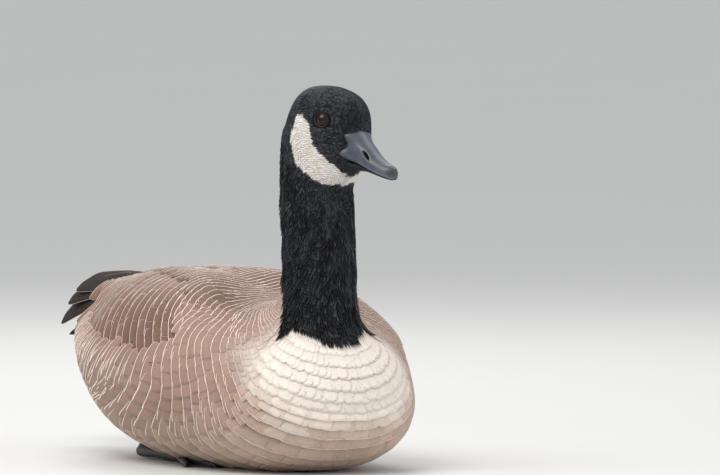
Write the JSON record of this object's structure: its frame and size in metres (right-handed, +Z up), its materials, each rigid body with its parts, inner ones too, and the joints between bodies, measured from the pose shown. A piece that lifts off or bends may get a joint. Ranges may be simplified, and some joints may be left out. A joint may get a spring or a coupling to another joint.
{
  "type": "canada goose",
  "caption": "Life-size goose in its swimming pose, sitting on its belly with folded wings, head turned to its left and feet tucked under.",
  "frame": {"origin": "centre of the bounding box, on the floor under the belly", "axes": "-Y is the way the bird swims, +X is its left side, +Z is up"},
  "size_m": [0.2447, 0.5982, 0.3467],
  "materials": {
    "black_plumage": "short soft black feathers, white cheek patch",
    "body_plumage": "grey-brown feathers with pale edges, cream breast",
    "wing_plumage": "brown feathers with thin pale edges",
    "quills": "dark smooth flight and tail feathers",
    "horn": "slate grey satin horn",
    "eye": "wet dark brown",
    "leg_skin": "black scaly skin"
  },
  "bodies": {
    "root": {"head": "black_plumage", "bill_upper": "horn", "bill_lower": "horn", "eye_left": "eye", "eye_right": "eye", "neck": "black_plumage", "torso": "body_plumage", "wing_left": "wing_plumage", "wing_right": "wing_plumage", "tail": "quills", "leg_left": "leg_skin", "leg_right": "leg_skin", "foot_left": "leg_skin", "foot_right": "leg_skin"}
  },
  "joints": []
}
